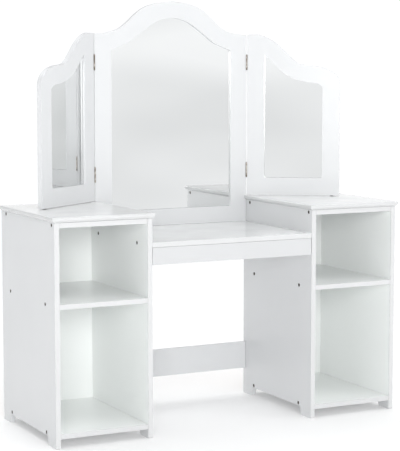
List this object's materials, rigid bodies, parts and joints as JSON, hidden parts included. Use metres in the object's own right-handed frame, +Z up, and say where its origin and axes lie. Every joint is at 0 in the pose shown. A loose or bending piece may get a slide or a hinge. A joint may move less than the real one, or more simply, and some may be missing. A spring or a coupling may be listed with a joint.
{
  "type": "vanity table with mirror",
  "caption": "White dressing table with two open-front shelf cabinets, a low desk between them and a hinged three-panel mirror with a curved crest.",
  "frame": {"origin": "on the floor, at the middle of the object's outline seen from above", "axes": "+Z up; -Y is the open front where the sitter is, +Y the back; +X is to the right seen from the front"},
  "size_m": [0.94, 0.354, 1.042],
  "materials": {
    "white_lacquer": "satin white lacquer on fibreboard",
    "white_thin_panel": "thin white-faced hardboard",
    "hardboard": "bare brown hardboard",
    "mirror_glass": "silvered flat glass",
    "bronzed_screw": "bronzed steel",
    "antique_nickel": "antique nickel plated steel",
    "dark_nylon": "moulded nylon"
  },
  "bodies": {
    "table": {"centre_mirror_backing": "hardboard", "centre_mirror_frame": "white_lacquer", "centre_mirror_glass": "mirror_glass", "desk_apron": "white_lacquer", "desk_top": "white_lacquer", "left_back_panel": "white_thin_panel", "left_bottom_board": "white_lacquer", "left_cabinet_top": "white_lacquer", "left_inner_side": "white_lacquer", "left_lower_hinge_fixed_leaf": "antique_nickel", "left_lower_hinge_pin": "antique_nickel", "left_outer_screw_back_rail": "bronzed_screw", "left_outer_screw_bottom_back": "bronzed_screw", "left_outer_screw_bottom_front": "bronzed_screw", "left_outer_screw_front_rail": "bronzed_screw", "left_outer_screw_shelf_back": "bronzed_screw", "left_outer_screw_shelf_front": "bronzed_screw", "left_outer_side": "white_lacquer", "left_screw_desk_back": "bronzed_screw", "left_screw_desk_front": "bronzed_screw", "left_shelf": "white_lacquer", "left_top_back_rail": "white_lacquer", "left_top_front_rail": "white_lacquer", "left_upper_hinge_fixed_leaf": "antique_nickel", "left_upper_hinge_pin": "antique_nickel", "rear_stretcher": "white_lacquer", "right_back_panel": "white_thin_panel", "right_bottom_board": "white_lacquer", "right_cabinet_top": "white_lacquer", "right_inner_screw_back_rail": "bronzed_screw", "right_inner_screw_bottom_back": "bronzed_screw", "right_inner_screw_bottom_front": "bronzed_screw", "right_inner_screw_front_rail": "bronzed_screw", "right_inner_screw_shelf_back": "bronzed_screw", "right_inner_screw_shelf_front": "bronzed_screw", "right_inner_side": "white_lacquer", "right_lower_hinge_fixed_leaf": "antique_nickel", "right_lower_hinge_pin": "antique_nickel", "right_outer_side": "white_lacquer", "right_screw_desk_back": "bronzed_screw", "right_screw_desk_front": "bronzed_screw", "right_shelf": "white_lacquer", "right_top_back_rail": "white_lacquer", "right_top_front_rail": "white_lacquer", "right_upper_hinge_fixed_leaf": "antique_nickel", "right_upper_hinge_pin": "antique_nickel"},
    "left_wing": {"left_lower_hinge_wing_leaf": "antique_nickel", "left_upper_hinge_wing_leaf": "antique_nickel", "left_wing_backing": "hardboard", "left_wing_frame": "white_lacquer", "left_wing_glass": "mirror_glass", "left_wing_glide": "dark_nylon"},
    "right_wing": {"right_lower_hinge_wing_leaf": "antique_nickel", "right_upper_hinge_wing_leaf": "antique_nickel", "right_wing_backing": "hardboard", "right_wing_frame": "white_lacquer", "right_wing_glass": "mirror_glass", "right_wing_glide": "dark_nylon"}
  },
  "joints": [
    {"name": "left_wing_hinge", "type": "hinge", "parent": "table", "child": "left_wing", "pos_m": [-0.218, 0.164, 0.7455], "axis": [0, 0, 1], "range_deg": [-36, 114]},
    {"name": "right_wing_hinge", "type": "hinge", "parent": "table", "child": "right_wing", "pos_m": [0.218, 0.164, 0.7455], "axis": [0, 0, 1], "range_deg": [-114, 36]}
  ]
}
